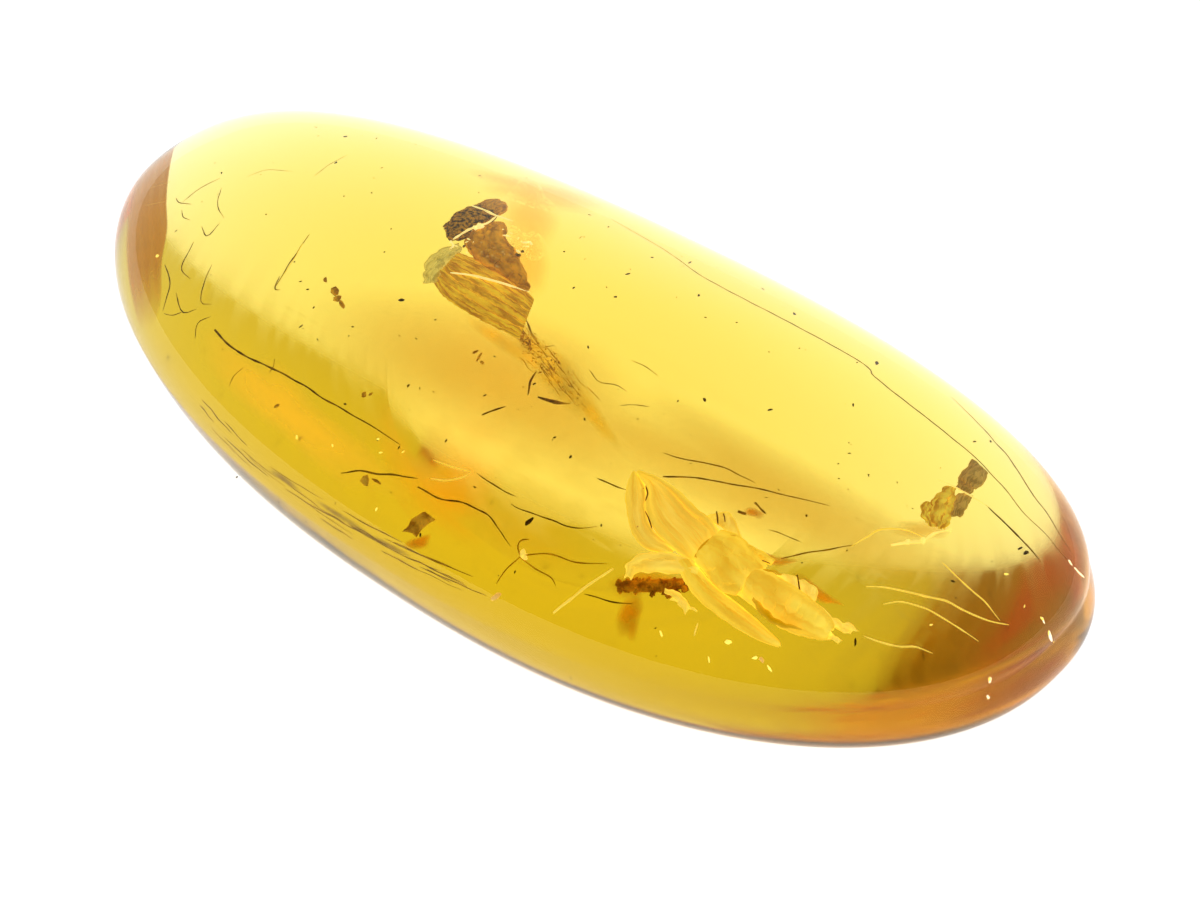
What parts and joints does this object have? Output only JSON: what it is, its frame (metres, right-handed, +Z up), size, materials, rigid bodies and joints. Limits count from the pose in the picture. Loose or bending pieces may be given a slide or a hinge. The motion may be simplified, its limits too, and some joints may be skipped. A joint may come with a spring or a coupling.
{
  "type": "insect in amber",
  "caption": "Polished oval pebble of clear golden amber with a pale winged insect, bark scraps and fine plant hairs sealed inside, lying on its flat underside.",
  "frame": {"origin": "middle of the bounding box at the level of the flat underside", "axes": "+X along the stone towards its wider end, +Y across it, +Z up from the resting face to the dome"},
  "size_m": [0.0322, 0.015, 0.0075],
  "materials": {
    "amber": "clear golden resin, polished, with fine hairline scratches",
    "insect": "pale papery wings and body in the resin",
    "bark": "dark crumbled bark and bud scale",
    "hair": "fine dark and pale plant hairs",
    "bubble": "small bright voids and glinting flecks"
  },
  "bodies": {
    "root": {"amber_stone": "amber"}
  },
  "joints": []
}
